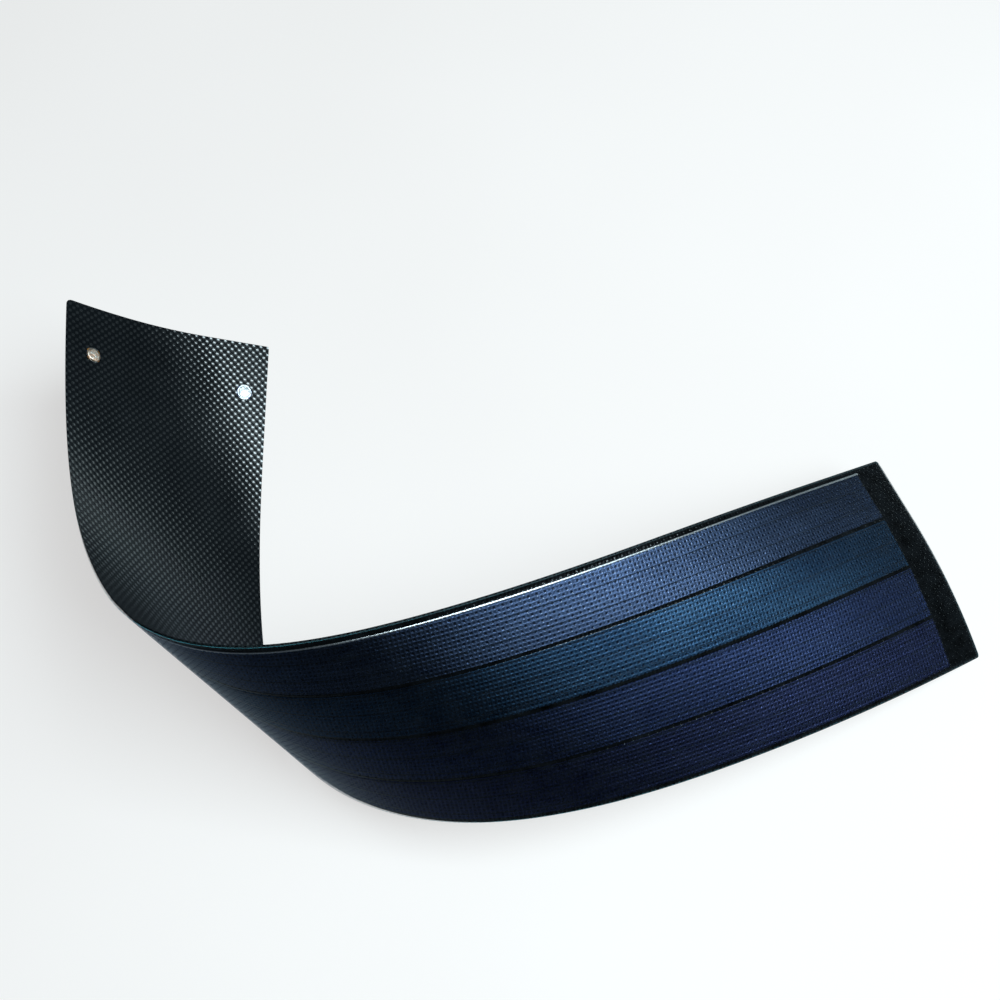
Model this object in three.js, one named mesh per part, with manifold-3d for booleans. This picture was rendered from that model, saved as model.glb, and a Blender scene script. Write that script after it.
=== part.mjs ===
// Flexible solar sheet: four thin-film cells on steel foil, laminated in plastic, and curled by hand.
// The laminate is laid out flat, cut along its bend lines, and folded into the curl. Every layer is
// cut along the same bend lines, so the layers stay parallel and keep their gaps all the way round.
//
// Flat coordinates, mm: s runs along the sheet from its plain end, w across it from the side that is
// uppermost when it stands, and n through it from the back face to the cell face.
// The finished part stands on its lower long edge with +Z up and the cell face turned to -Y.
import * as THREE from 'three';
import Module from 'manifold-3d';
import { mergeVertices } from 'three/addons/utils/BufferGeometryUtils.js';

const wasm = await Module();
wasm.setup();

// ---- the sheet, mm ----
const SHEET_LENGTH = 533;
const SHEET_WIDTH = 97;
const PLAIN_END_CORNER = 1;
const CONTACT_END_UPPER_CORNER = 2.5;
const CONTACT_END_LOWER_CORNER = 0.8;

// ---- the curl ----
// Bend radius (mm) and bend-line slant (mm along the sheet per mm across it) at equally spaced
// stations from the plain end to the contact end; both change evenly from one station to the next.
const BEND_RADII = [205, 140, 215, 81, 69, 230, 110];
const BEND_SLANTS = [1.9, 0.9, 0.45, 1.8];
const BEND_OVERRUN = 34; // the bend lines carry on this far past each end, to reach the corners
const FOLD_ANGLE = 5.2; // degrees at each bend line
const FOLD_STEP_MAX = 14;
const SUPPORT_HEADING = -4; // degrees from +X of the line that the sheet stands on

// ---- the layers, mm from the back face ----
const BACK_SHEET = [0, 0.2];
const RIBBON = [0.22, 0.35];
const TERMINAL_RIBBON = [0.22, 0.27];
const TERMINAL_INSULATION = [0.29, 0.35];
const CELL = [0.37, 0.5];
const WIRE = [0.52, 0.57];
const FRONT_ENCAPSULANT = [0.59, 0.69];
const FRONT_FILM = [0.71, 0.81];

// ---- the cells ----
const CELL_COUNT = 4;
const CELL_WIDTH = 21.7;
const CELL_GAP = 1.6;
const FIRST_CELL_EDGE = 3.2;
const CELL_START = 18.7;
const CELL_END = SHEET_LENGTH - 8;
const FIRST_CELL_WIRES = [6.8, 15.4]; // from the cell's edge
const OTHER_CELL_WIRES = [0.9, 10, 18.9];
const WIRE_WIDTH = 0.3;

// ---- strip connectors at the contact end ----
const BUSBAR_START = SHEET_LENGTH - 6.6;
const BUSBAR_END = SHEET_LENGTH - 2.8;
const BUSBAR_OVERLAP = 3.6; // how far each busbar reaches under the cell before it
const BUSBAR_SPACING = 0.5;
const TAB_WIDTH = 2;
const TAB_START = SHEET_LENGTH - 34;
const TAB_END = SHEET_LENGTH - 3;
const TERMINAL_WIDTH = 4;
const SLOT_CLEARANCE = 0.3;

// ---- contact pads on the back ----
const PAD_FROM_END = 25;
const PAD_POSITIVE_W = 13.4;
const PAD_NEGATIVE_W = 86.4;
const WINDOW_RADIUS = 3.7;
const PAD_RADIUS = 3.3;
const PAD = [0.05, 0.2];
const SOLDER_RADIUS = 2.9;
const SOLDER = [-0.12, 0.03];
const SOLDER_HEIGHT = 0.5;
const SOLDER_FLAT_RADIUS = 1.2;
const ROUND_SIDES = 24;

// ---- insets from the cut edge ----
const ENCAPSULANT_INSET = 0.8;
const FILM_INSET = 0.6;

const degrees = THREE.MathUtils.degToRad;

// Value at a distance along the sheet, read evenly between equally spaced stations.
function stationValue(values, s) {
  const position = THREE.MathUtils.clamp(s / SHEET_LENGTH, 0, 1) * (values.length - 1);
  const index = Math.min(Math.floor(position), values.length - 2);
  return THREE.MathUtils.lerp(values[index], values[index + 1], position - index);
}

const BEND_CURVATURES = BEND_RADII.map((radius) => 1 / radius);
const curvature = (s) => stationValue(BEND_CURVATURES, s);
const slant = (s) => stationValue(BEND_SLANTS, s);

// Turn of the sheet per mm of its centre line, radians, about the slanted bend line at s.
const turnRate = (s) => curvature(s) / Math.hypot(1, slant(s));

// Bend lines: each crosses the centre line at s, leans by slant, and folds the sheet by turn.
function bendLines() {
  const stations = [-BEND_OVERRUN];
  while (stations.at(-1) < SHEET_LENGTH + BEND_OVERRUN) {
    const s = stations.at(-1);
    stations.push(s + Math.min(FOLD_STEP_MAX, degrees(FOLD_ANGLE) / turnRate(s)));
  }
  return stations.map((s, i) => {
    const before = i === 0 ? s : (stations[i - 1] + s) / 2;
    const after = i === stations.length - 1 ? s : (stations[i + 1] + s) / 2;
    return { s, slant: slant(s), turn: turnRate(s) * (after - before) };
  });
}

const folds = bendLines();

// How far a flat point lies past a bend line.
const pastFold = (point, fold) => point.s + (point.w - SHEET_WIDTH / 2) * fold.slant - fold.s;

// Rigid placement of each flat facet: facet 0 stays put and each bend line turns all that follow.
function facetPlacements(base) {
  const placements = [base.clone()];
  for (const fold of folds) {
    const axis = new THREE.Vector3(-fold.slant, 1, 0).normalize();
    const pivot = new THREE.Vector3(fold.s, SHEET_WIDTH / 2, 0);
    const turn = new THREE.Matrix4().makeTranslation(pivot)
      .multiply(new THREE.Matrix4().makeRotationAxis(axis, fold.turn))
      .multiply(new THREE.Matrix4().makeTranslation(pivot.negate()));
    placements.push(placements.at(-1).clone().multiply(turn));
  }
  return placements;
}

function facetNormal(placement) {
  return new THREE.Vector3().setFromMatrixColumn(placement, 2);
}

// Where a flat point goes. On a bend line the offset n is mitred between the two facets.
function placed(placements, point, facet, n) {
  const position = new THREE.Vector3(point.s, point.w, 0).applyMatrix4(placements[facet]);
  const normal = facetNormal(placements[facet]);
  if (point.fold === undefined) {
    return position.addScaledVector(normal, n);
  }
  const before = facetNormal(placements[point.fold]);
  const after = facetNormal(placements[point.fold + 1]);
  const mitre = before.clone().add(after).divideScalar(1 + before.dot(after));
  return position.addScaledVector(mitre, n);
}

const facetAt = (point) => folds.filter((fold) => pastFold(point, fold) > 0).length;

// ---- standing the curled sheet on its lower long edge ----

// Corners of the lower edge's straight runs, one at each bend line that crosses it.
function edgePoints(placements, w) {
  const crossings = folds
    .map((fold, i) => ({ s: fold.s - (w - SHEET_WIDTH / 2) * fold.slant, w, fold: i }))
    .filter((point) => point.s > 0 && point.s < SHEET_LENGTH);
  return crossings.map((point) => placed(placements, point, point.fold, 0));
}

function sheetCentre(placements) {
  const centre = new THREE.Vector3();
  const steps = 60;
  for (let i = 0; i < steps; i += 1) {
    for (let j = 0; j < 8; j += 1) {
      const point = { s: ((i + 0.5) / steps) * SHEET_LENGTH, w: ((j + 0.5) / 8) * SHEET_WIDTH };
      centre.add(placed(placements, point, facetAt(point), 0));
    }
  }
  return centre.divideScalar(steps * 8);
}

// The sheet stands on the plain end's lower corner and on one straight run of the lower edge. Of the
// planes that have the whole sheet on one side, the lowest under its centre is where it comes to rest.
function standingPlacement() {
  const flat = facetPlacements(new THREE.Matrix4());
  const corner = placed(flat, { s: 0, w: SHEET_WIDTH }, facetAt({ s: 0, w: SHEET_WIDTH }), 0);
  const lower = edgePoints(flat, SHEET_WIDTH);
  const all = [...lower, ...edgePoints(flat, 0)];
  const centre = sheetCentre(flat);
  let best = null;
  for (let k = 1; k < lower.length; k += 1) {
    const plane = new THREE.Plane().setFromCoplanarPoints(corner, lower[k - 1], lower[k]);
    if (plane.distanceToPoint(centre) < 0) {
      plane.negate();
    }
    const height = plane.distanceToPoint(centre);
    const clear = all.every((point) => plane.distanceToPoint(point) > -1e-6);
    if (clear && (best === null || height < best.height)) {
      best = { height, up: plane.normal.clone(), along: corner.clone().sub(lower[k]) };
    }
  }
  const forward = best.along.clone().projectOnPlane(best.up).normalize();
  const side = best.up.clone().cross(forward);
  const upright = new THREE.Matrix4().makeBasis(forward, side, best.up).transpose();
  return new THREE.Matrix4().makeRotationZ(degrees(SUPPORT_HEADING)).multiply(upright);
}

// ---- flat outlines ----

// Rectangle from s0 to s1 and w0 to w1, with rounded corners: both at its start, upper end, lower end.
function rectangle(s0, s1, w0, w1, start = 0, upperEnd = 0, lowerEnd = 0) {
  const corners = [
    { s: s0 + start, w: w0 + start, r: start, from: 180 },
    { s: s1 - upperEnd, w: w0 + upperEnd, r: upperEnd, from: 270 },
    { s: s1 - lowerEnd, w: w1 - lowerEnd, r: lowerEnd, from: 0 },
    { s: s0 + start, w: w1 - start, r: start, from: 90 },
  ];
  return corners.flatMap((corner) => {
    const steps = corner.r > 0 ? 4 : 0;
    return Array.from({ length: steps + 1 }, (_, i) => {
      const angle = degrees(corner.from + (steps ? (90 * i) / steps : 0));
      return { s: corner.s + corner.r * Math.cos(angle), w: corner.w + corner.r * Math.sin(angle) };
    });
  });
}

function circle(s, w, radius) {
  return Array.from({ length: ROUND_SIDES }, (_, i) => {
    const angle = (2 * Math.PI * i) / ROUND_SIDES;
    return { s: s + radius * Math.cos(angle), w: w + radius * Math.sin(angle) };
  });
}

// ---- folding a flat outline into the curl ----

// The part of a convex outline before (keep = -1) or past (keep = 1) one bend line.
function cutOutline(outline, index, keep) {
  const fold = folds[index];
  const kept = [];
  outline.forEach((a, i) => {
    const b = outline[(i + 1) % outline.length];
    const da = keep * pastFold(a, fold);
    const db = keep * pastFold(b, fold);
    if (da >= 0) {
      kept.push(a);
    }
    if (da * db < 0) {
      const t = da / (da - db);
      const s = THREE.MathUtils.lerp(a.s, b.s, t);
      const w = THREE.MathUtils.lerp(a.w, b.w, t);
      kept.push({ s, w, fold: index });
    }
  });
  return kept;
}

// The outline cut along every bend line, as { facet, points } pieces.
function facetPieces(outline) {
  const pieces = [];
  let rest = outline;
  folds.forEach((fold, index) => {
    if (rest.length === 0) {
      return;
    }
    const before = cutOutline(rest, index, -1);
    if (before.length > 2) {
      pieces.push({ facet: index, points: before });
      rest = cutOutline(rest, index, 1);
    }
  });
  if (rest.length > 2) {
    pieces.push({ facet: folds.length, points: rest });
  }
  return pieces;
}

const placements = facetPlacements(standingPlacement());

// A folded plate: the outline between the heights n0 and n1.
function plate(outline, [n0, n1]) {
  const positions = [];
  const triangle = (a, b, c) => positions.push(...a, ...b, ...c);
  for (const { facet, points } of facetPieces(outline)) {
    const low = points.map((point) => placed(placements, point, facet, n0));
    const high = points.map((point) => placed(placements, point, facet, n1));
    for (let i = 1; i < points.length - 1; i += 1) {
      triangle(high[0], high[i], high[i + 1]);
      triangle(low[0], low[i + 1], low[i]);
    }
    points.forEach((point, i) => {
      const j = (i + 1) % points.length;
      const onCut = point.fold !== undefined && point.fold === points[j].fold;
      if (!onCut) {
        triangle(low[i], low[j], high[j]);
        triangle(low[i], high[j], high[i]);
      }
    });
  }
  const geometry = new THREE.BufferGeometry();
  geometry.setAttribute('position', new THREE.Float32BufferAttribute(positions, 3));
  return mergeVertices(geometry, 1e-4);
}

// ---- joining and cutting closed bodies ----

function toManifold(geometry) {
  const plain = new THREE.BufferGeometry();
  plain.setAttribute('position', geometry.getAttribute('position').clone());
  plain.setIndex(geometry.getIndex());
  const merged = mergeVertices(plain, 1e-4);
  return new wasm.Manifold(new wasm.Mesh({
    numProp: 3,
    vertProperties: Float32Array.from(merged.getAttribute('position').array),
    triVerts: Uint32Array.from(merged.getIndex().array),
  }));
}

function fromManifold(manifold) {
  const mesh = manifold.getMesh();
  const geometry = new THREE.BufferGeometry();
  geometry.setAttribute('position', new THREE.BufferAttribute(mesh.vertProperties, 3));
  geometry.setIndex(new THREE.BufferAttribute(mesh.triVerts, 1));
  return geometry;
}

function join(geometry, additions) {
  const whole = additions.reduce((sum, other) => sum.add(toManifold(other)), toManifold(geometry));
  return fromManifold(whole);
}

function cut(geometry, cutters) {
  const rest = cutters.reduce((sum, other) => sum.subtract(toManifold(other)), toManifold(geometry));
  return fromManifold(rest);
}

// ---- layout of the cells and their connectors ----

const cellEdge = (index) => FIRST_CELL_EDGE + index * (CELL_WIDTH + CELL_GAP);
const padS = SHEET_LENGTH - PAD_FROM_END;
const through = ([n0, n1]) => [n0 - 0.3, n1 + 0.3];

const wholeOutline = (inset) => rectangle(
  inset, SHEET_LENGTH - inset, inset, SHEET_WIDTH - inset,
  PLAIN_END_CORNER, CONTACT_END_UPPER_CORNER, CONTACT_END_LOWER_CORNER,
);

function strip(s0, s1, centre, width, margin = 0) {
  return rectangle(s0 - margin, s1 + margin, centre - width / 2 - margin, centre + width / 2 + margin);
}

const tabCentre = (index) => cellEdge(index + 1) - BUSBAR_OVERLAP + TAB_WIDTH / 2;
const tabOutline = (index, margin = 0) => strip(TAB_START, TAB_END, tabCentre(index), TAB_WIDTH, margin);
const positiveOutline = (margin = 0) => (
  strip(padS - 6, TAB_END, PAD_POSITIVE_W, TERMINAL_WIDTH, margin)
);
const negativeOutline = (margin = 0) => (
  strip(padS - 8, padS + 8, PAD_NEGATIVE_W, TERMINAL_WIDTH, margin)
);

// ---- the layers ----

function backSheet() {
  const windows = [PAD_POSITIVE_W, PAD_NEGATIVE_W]
    .map((w) => plate(circle(padS, w, WINDOW_RADIUS), through(BACK_SHEET)));
  return cut(plate(wholeOutline(0), BACK_SHEET), windows);
}

function backEncapsulant() {
  const slots = [0, 1, 2].map((index) => tabOutline(index, SLOT_CLEARANCE));
  slots.push(positiveOutline(SLOT_CLEARANCE + 1));
  slots.push(negativeOutline(SLOT_CLEARANCE));
  const cutters = slots.map((outline) => plate(outline, through(RIBBON)));
  return cut(plate(wholeOutline(ENCAPSULANT_INSET), RIBBON), cutters);
}

function cell(index) {
  return plate(rectangle(CELL_START, CELL_END, cellEdge(index), cellEdge(index) + CELL_WIDTH), CELL);
}

function wire(index, offset) {
  const centre = cellEdge(index) + offset;
  return plate(strip(CELL_START + 1, BUSBAR_END - 0.4, centre, WIRE_WIDTH), WIRE);
}

function busbar(index) {
  const start = index === 0 ? cellEdge(0) : cellEdge(index) - BUSBAR_OVERLAP;
  const end = cellEdge(index + 1) - BUSBAR_OVERLAP - BUSBAR_SPACING;
  return plate(rectangle(BUSBAR_START, BUSBAR_END, start, end), CELL);
}

// A solder mound: a thin disc that follows the pad, with a low cone that ends in a flat top.
function solder(w) {
  const disc = plate(circle(padS, w, SOLDER_RADIUS), SOLDER);
  const profile = [
    [0, SOLDER[1] - 0.02],
    [SOLDER_RADIUS * 0.8, SOLDER[1] - 0.02],
    [SOLDER_RADIUS * 0.8, -SOLDER[0] + 0.05],
    [SOLDER_RADIUS * 0.62, SOLDER_HEIGHT * 0.8],
    [SOLDER_FLAT_RADIUS, SOLDER_HEIGHT],
    [0, SOLDER_HEIGHT],
  ];
  const points = profile.map(([r, height]) => new THREE.Vector2(r, height));
  const mound = new THREE.LatheGeometry(points, ROUND_SIDES);
  const point = { s: padS, w };
  const facet = facetAt(point);
  const position = placed(placements, point, facet, 0);
  const outward = facetNormal(placements[facet]).negate();
  mound.applyQuaternion(new THREE.Quaternion().setFromUnitVectors(new THREE.Vector3(0, 1, 0), outward));
  mound.translate(position.x, position.y, position.z);
  return join(disc, [mound]);
}

// ---- materials ----

function material(color, roughness, metalness, opacity = 1) {
  return new THREE.MeshStandardMaterial({
    color, roughness, metalness, opacity, transparent: opacity < 1,
  });
}

const clearFilm = () => material(0xdfe6ea, 0.18, 0, 0.2);
const encapsulant = () => material(0xd6dcdc, 0.4, 0, 0.35);
const blackSheet = () => material(0x14181b, 0.45, 0);
const tinned = () => material(0xb9bdbf, 0.35, 1);
const copper = () => material(0x8f7a62, 0.4, 1);
const fineWire = () => material(0x1b2530, 0.45, 0.8);
const CELL_COLOURS = [0x24386b, 0x275a86, 0x26366e, 0x1f2450];

// ---- the assembly ----

const sheet = new THREE.Group();

function add(name, geometry, meshMaterial) {
  const mesh = new THREE.Mesh(geometry, meshMaterial);
  mesh.name = name;
  sheet.add(mesh);
}

add('front_film', plate(wholeOutline(FILM_INSET), FRONT_FILM), clearFilm());
add('front_encapsulant', plate(wholeOutline(ENCAPSULANT_INSET), FRONT_ENCAPSULANT), encapsulant());
for (let index = 0; index < CELL_COUNT; index += 1) {
  const number = index + 1;
  add(`cell_${number}`, cell(index), material(CELL_COLOURS[index], 0.3, 0.4));
  const offsets = index === 0 ? FIRST_CELL_WIRES : OTHER_CELL_WIRES;
  offsets.forEach((offset, i) => {
    add(`collector_wire_${number}${'abc'[i]}`, wire(index, offset), fineWire());
  });
  add(`busbar_${number}`, busbar(index), copper());
}
for (let index = 0; index < CELL_COUNT - 1; index += 1) {
  add(`interconnect_${index + 1}_${index + 2}`, plate(tabOutline(index), RIBBON), tinned());
}
add('terminal_ribbon_positive', plate(positiveOutline(), TERMINAL_RIBBON), tinned());
add('terminal_insulation', plate(positiveOutline(1), TERMINAL_INSULATION), material(0x8a5a1c, 0.4, 0));
add('terminal_ribbon_negative', plate(negativeOutline(), RIBBON), tinned());
add('back_encapsulant', backEncapsulant(), encapsulant());
add('back_sheet', backSheet(), blackSheet());
add('contact_pad_positive', plate(circle(padS, PAD_POSITIVE_W, PAD_RADIUS), PAD), copper());
add('contact_pad_negative', plate(circle(padS, PAD_NEGATIVE_W, PAD_RADIUS), PAD), copper());
add('solder_positive', solder(PAD_POSITIVE_W), tinned());
add('solder_negative', solder(PAD_NEGATIVE_W), tinned());

// Stand the sheet on z = 0 with its footprint centred on the origin.
const box = new THREE.Box3().setFromObject(sheet);
const middle = box.getCenter(new THREE.Vector3());
for (const mesh of sheet.children) {
  mesh.position.set(-middle.x, -middle.y, -box.min.z);
}

export default sheet;
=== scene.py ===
# Looks of the curled flexible solar sheet. Every layer is laid out flat, embossed or shaped there, and
# then bent with the same curl as the CAD layers. Flat coordinates are in mm: s runs along the sheet
# from its plain end, w across it from its upper side, and n through it from the back to the cell face.
import math

import bpy
import numpy as np
from mathutils import Matrix, Vector
from mathutils.geometry import delaunay_2d_cdt


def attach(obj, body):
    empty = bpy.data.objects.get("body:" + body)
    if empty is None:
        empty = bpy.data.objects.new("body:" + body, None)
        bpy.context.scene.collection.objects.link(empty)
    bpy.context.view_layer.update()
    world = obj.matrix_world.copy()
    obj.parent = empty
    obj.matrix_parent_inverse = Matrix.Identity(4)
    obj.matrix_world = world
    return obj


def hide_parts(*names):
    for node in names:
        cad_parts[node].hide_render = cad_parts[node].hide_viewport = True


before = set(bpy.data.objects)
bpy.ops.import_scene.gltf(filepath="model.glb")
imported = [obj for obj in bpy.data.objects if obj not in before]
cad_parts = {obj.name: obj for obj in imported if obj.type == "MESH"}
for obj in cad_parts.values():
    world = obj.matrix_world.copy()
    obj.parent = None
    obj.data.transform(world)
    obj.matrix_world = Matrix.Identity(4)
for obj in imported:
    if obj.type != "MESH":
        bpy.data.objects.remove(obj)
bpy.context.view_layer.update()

MM = 0.001

# ---- the sheet and its curl ----
SHEET_LENGTH = 533.0
SHEET_WIDTH = 97.0
PLAIN_END_CORNER = 1.0
CONTACT_END_UPPER_CORNER = 2.5
CONTACT_END_LOWER_CORNER = 0.8
CORNERS = (PLAIN_END_CORNER, CONTACT_END_UPPER_CORNER, CONTACT_END_LOWER_CORNER)
BEND_RADII = [205, 140, 215, 81, 69, 230, 110]
BEND_SLANTS = [1.9, 0.9, 0.45, 1.8]
BEND_OVERRUN = 34.0
CAD_FOLD_ANGLE = 5.2
CAD_FOLD_STEP = 14.0
FINE_FOLD_STEP = 0.5
SUPPORT_HEADING = -4.0

# ---- the layers, mm from the back face ----
BACK_SHEET = (0.0, 0.2)
RIBBON = (0.22, 0.35)
TERMINAL_RIBBON = (0.22, 0.27)
TERMINAL_INSULATION = (0.29, 0.35)
CELL = (0.37, 0.5)
WIRE = (0.52, 0.57)
FRONT_ENCAPSULANT = (0.59, 0.69)
FILM_UNDERSIDE = 0.71
FILM_OVER_MARGIN = 0.86
FILM_OVER_CELL = 0.95
FILM_OVER_GAP = 0.925
PAD = (0.05, 0.2)
ENCAPSULANT_INSET = 0.8
FILM_INSET = 0.6

# ---- the cells and their connectors ----
CELL_COUNT = 4
CELL_WIDTH = 21.7
CELL_GAP = 1.6
FIRST_CELL_EDGE = 3.2
CELL_START = 18.7
CELL_END = SHEET_LENGTH - 8
FIRST_CELL_WIRES = [6.8, 15.4]
OTHER_CELL_WIRES = [0.9, 10.0, 18.9]
WIRE_WIDTH = 0.3
CELL_ROUGHNESS = 0.46
BUSBAR_START = SHEET_LENGTH - 6.6
BUSBAR_END = SHEET_LENGTH - 2.8
BUSBAR_OVERLAP = 3.6
BUSBAR_SPACING = 0.5
TAB_WIDTH = 2.0
TAB_START = SHEET_LENGTH - 34
TAB_END = SHEET_LENGTH - 3
TERMINAL_WIDTH = 4.0
SLOT_CLEARANCE = 0.3
PAD_S = SHEET_LENGTH - 25
PAD_POSITIVE_W = 13.4
PAD_NEGATIVE_W = 86.4
WINDOW_RADIUS = 3.7
PAD_RADIUS = 3.3
SOLDER_RADIUS = 2.9
SOLDER_HEIGHT = 0.42
SOLDER_RINGS = 14
SOLDER_SIDES = 56

# ---- the pressed texture ----
# Front dimples stand in rows both ways, and each deep one has shallow ones on its four sides. The
# back has a raised dot at every other crossing only.
DIMPLE_PITCH_S = 1.7
DIMPLE_PITCH_W = 1.725
SHALLOW_DIMPLE = 0.5
DIMPLE_DEPTH = 0.07
DOT_PITCH_S = 1.8
DOT_PITCH_W = 1.725
DOT_HEIGHT = 0.05
DOT_SHARPNESS = 1.6
STEP_WIDTH = 0.3  # of the film's step down at the edge of a cell
COVER_END = SHEET_LENGTH - 3  # where the film steps down past the busbars
SHARP_ANGLE = 38.0
INNER_STEP = 2.2  # spacing of the points inside a plain face

# ---- the view and the lights ----
CAMERA_TARGET = (-0.0091, 0.0091, 0.0591)
CAMERA_DISTANCE = 0.5164
CAMERA_AZIMUTH = -0.19
CAMERA_ELEVATION = 61.72
CAMERA_ROLL = 1.94
CAMERA_LENS = 44.58
CAMERA_SENSOR = 36.0
LIGHT_COLOUR = (0.76, 0.94, 1.0)
# Azimuth and elevation in degrees, distance, width and height in m, and radiance.
KEY_LIGHT = (68, 60, 1.2, 0.92, 0.8, 9.0)
SIDE_PANEL = (99, 46, 1.2, 0.32, 0.48, 2.2)
FLOOR_HALF = 30.0
FLOOR_TILES = 12
FLOOR_LEVEL = -0.0003
# The backdrop is for the camera only, and the room for everything else.
BACKDROP = (0.92, 0.92, 0.92, 1)
ROOM_IN_FRONT = (0.012, 0.016, 0.02, 1)
ROOM_BEHIND = (0.07, 0.09, 0.10, 1)
# What the floor gives back to the object, from 0.5 m in front of the curl to 1.5 m behind it.
FLOOR_RETURN = [
    (0.08, (0.03, 0.04, 0.05)), (0.2, (0.14, 0.18, 0.21)), (0.27, (0.25, 0.32, 0.37)),
    (0.36, (0.8, 1.0, 1.0)), (0.45, (0.5, 0.64, 0.7)), (0.65, (0.12, 0.16, 0.18)),
]


# ======================= the curl =======================

def station_value(values, s):
    position = np.clip(np.asarray(s, float) / SHEET_LENGTH, 0, 1) * (len(values) - 1)
    return np.interp(position, np.arange(len(values)), values)


def slant(s):
    return station_value(BEND_SLANTS, s)


def turn_rate(s):
    """Turn of the sheet per mm of its centre line, in radians, about the slanted bend line at s."""
    return station_value([1 / radius for radius in BEND_RADII], s) / np.hypot(1, slant(s))


def fold_stations(step_max, angle=None):
    stations = [-BEND_OVERRUN]
    while stations[-1] < SHEET_LENGTH + BEND_OVERRUN:
        step = step_max
        if angle is not None:
            step = min(step, math.radians(angle) / turn_rate(stations[-1]))
        stations.append(stations[-1] + step)
    return np.array(stations)


def fold_placements(stations):
    """The 4x4 placement of the facet before the first bend line and of the one after each."""
    middles = (stations[1:] + stations[:-1]) / 2
    before = np.concatenate([stations[:1], middles])
    after = np.concatenate([middles, stations[-1:]])
    turns = turn_rate(stations) * (after - before)
    placements = [np.eye(4)]
    for s, lean, turn in zip(stations, slant(stations), turns):
        pivot = Vector((s, SHEET_WIDTH / 2, 0))
        rotation = Matrix.Rotation(turn, 4, Vector((-lean, 1, 0)))
        fold = Matrix.Translation(pivot) @ rotation @ Matrix.Translation(-pivot)
        placements.append(placements[-1] @ np.array(fold))
    return np.array(placements)


def ruling_station(s, w):
    """Where the bend line through a flat point crosses the centre line."""
    station = np.array(s, float)
    for _ in range(40):
        station = s + (w - SHEET_WIDTH / 2) * slant(station)
    return station


def bent(placements, stations, s, w, n):
    """Bent positions of flat points, mm, as rows."""
    s, w, n = np.broadcast_arrays(np.asarray(s, float), np.asarray(w, float), np.asarray(n, float))
    facet = np.searchsorted(stations, ruling_station(s, w), side="left")
    flat = np.stack([s, w, n, np.ones_like(s)], axis=-1)
    return np.einsum("...ij,...j->...i", placements[facet], flat)[..., :3]


def edge_points(placements, stations, w):
    """Corners of a long edge of the CAD sheet, one at each bend line that crosses it."""
    s = stations - (w - SHEET_WIDTH / 2) * slant(stations)
    facets = np.nonzero((s > 0) & (s < SHEET_LENGTH))[0]
    return np.array([placements[k] @ np.array([s[k], w, 0, 1]) for k in facets])[:, :3]


def standing_rotation(placements, stations):
    """Turns the curl so that it stands on its lower long edge, as part.mjs does."""
    corner = bent(placements, stations, 0.0, SHEET_WIDTH, 0.0)
    lower = edge_points(placements, stations, SHEET_WIDTH)
    everything = np.vstack([lower, edge_points(placements, stations, 0.0)])
    grid_s, grid_w = np.meshgrid(
        (np.arange(60) + 0.5) / 60 * SHEET_LENGTH, (np.arange(8) + 0.5) / 8 * SHEET_WIDTH,
    )
    centre = bent(placements, stations, grid_s, grid_w, 0.0).reshape(-1, 3).mean(axis=0)
    best = None
    for k in range(1, len(lower)):
        normal = np.cross(lower[k - 1] - corner, lower[k] - corner)
        normal /= np.linalg.norm(normal)
        if (centre - corner) @ normal < 0:
            normal = -normal
        height = (centre - corner) @ normal
        clear = ((everything - corner) @ normal > -1e-6).all()
        if clear and (best is None or height < best[0]):
            best = (height, normal, corner - lower[k])
    up, along = best[1], best[2]
    forward = along - (along @ up) * up
    forward /= np.linalg.norm(forward)
    upright = np.array([forward, np.cross(up, forward), up])
    heading = np.array(Matrix.Rotation(math.radians(SUPPORT_HEADING), 3, "Z"))
    return heading @ upright


def rigid_fit(source, target):
    """Rotation and shift that best carry the source points to the target points."""
    source_mean, target_mean = source.mean(axis=0), target.mean(axis=0)
    u, _, vt = np.linalg.svd((source - source_mean).T @ (target - target_mean))
    flip = np.diag([1, 1, np.sign(np.linalg.det(vt.T @ u.T))])
    rotation = vt.T @ flip @ u.T
    return rotation, target_mean - rotation @ source_mean


def cad_shift(placements, stations, rotation):
    """How far the standing curl moves to lie on the CAD cells, found from their bend-line corners."""
    corners = []
    for index in range(CELL_COUNT):
        for w in (cell_edge(index), cell_edge(index) + CELL_WIDTH):
            s = stations - (w - SHEET_WIDTH / 2) * slant(stations)
            inside = (s > CELL_START) & (s < CELL_END)
            for k in np.nonzero(inside)[0]:
                corners.append((placements[k] @ np.array([s[k], w, CELL[1], 1]))[:3])
    corners = np.array(corners) @ rotation.T
    cad = np.vstack([
        np.array([v.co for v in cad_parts[f"cell_{index + 1}"].data.vertices]) / MM
        for index in range(CELL_COUNT)
    ])
    shift = (cad.min(axis=0) + cad.max(axis=0) - corners.min(axis=0) - corners.max(axis=0)) / 2
    for _ in range(12):
        gaps = np.linalg.norm((corners + shift)[:, None] - cad[None], axis=2)
        shift = shift + (cad[gaps.argmin(axis=1)] - (corners + shift)).mean(axis=0)
    return shift


def cell_edge(index):
    return FIRST_CELL_EDGE + index * (CELL_WIDTH + CELL_GAP)


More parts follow.
